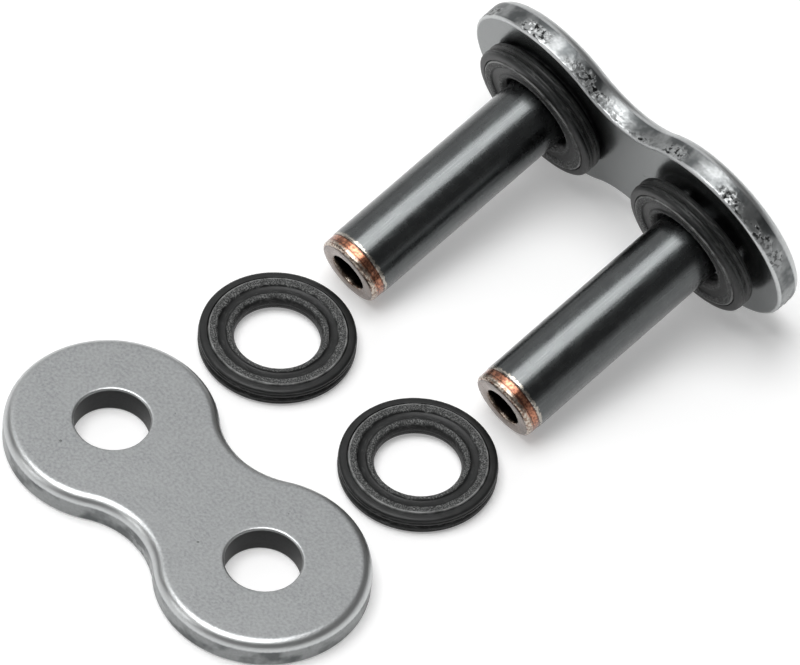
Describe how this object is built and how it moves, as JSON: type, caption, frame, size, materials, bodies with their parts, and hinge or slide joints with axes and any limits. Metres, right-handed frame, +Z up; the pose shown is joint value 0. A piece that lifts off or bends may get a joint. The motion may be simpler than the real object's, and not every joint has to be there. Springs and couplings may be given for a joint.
{
  "type": "motorcycle chain connecting link",
  "caption": "Rivet-type connecting link set for a sealed roller chain: back plate with two hollow-ended pins, four X-section seal rings and a front plate, laid out ready to fit.",
  "frame": {"origin": "on the surface the set lies on, under the middle of its box", "axes": "+Z up; the pins point towards -Y and down to the surface; +X runs along the plates from the left pin to the right pin"},
  "size_m": [0.0318, 0.0522, 0.015],
  "materials": {
    "plate_steel": "tumbled satin",
    "pin_steel": "black oxide, with a copper-flashed tip",
    "seal_rubber": "matt"
  },
  "bodies": {
    "link": {"back_plate": "plate_steel", "pin_left": "pin_steel", "pin_right": "pin_steel"},
    "seated_ring_left": {"seated_ring_left": "seal_rubber"},
    "seated_ring_right": {"seated_ring_right": "seal_rubber"},
    "loose_ring_left": {"loose_ring_left": "seal_rubber"},
    "loose_ring_right": {"loose_ring_right": "seal_rubber"},
    "front_plate": {"front_plate": "plate_steel"}
  },
  "joints": [
    {"name": "seated_ring_left_slide", "type": "slide", "parent": "link", "child": "seated_ring_left", "axis": [0, -0.9701, -0.2425], "range_m": [0, 0.00495]},
    {"name": "seated_ring_right_slide", "type": "slide", "parent": "link", "child": "seated_ring_right", "axis": [0, -0.9701, -0.2425], "range_m": [-0.0004, 0.00455]},
    {"name": "loose_ring_left_lift", "type": "slide", "parent": "link", "child": "loose_ring_left", "axis": [0, 0, 1], "range_m": [0, 0.03]},
    {"name": "loose_ring_right_lift", "type": "slide", "parent": "link", "child": "loose_ring_right", "axis": [0, 0, 1], "range_m": [0, 0.03]},
    {"name": "front_plate_lift", "type": "slide", "parent": "link", "child": "front_plate", "axis": [0, 0, 1], "range_m": [0, 0.03]}
  ]
}
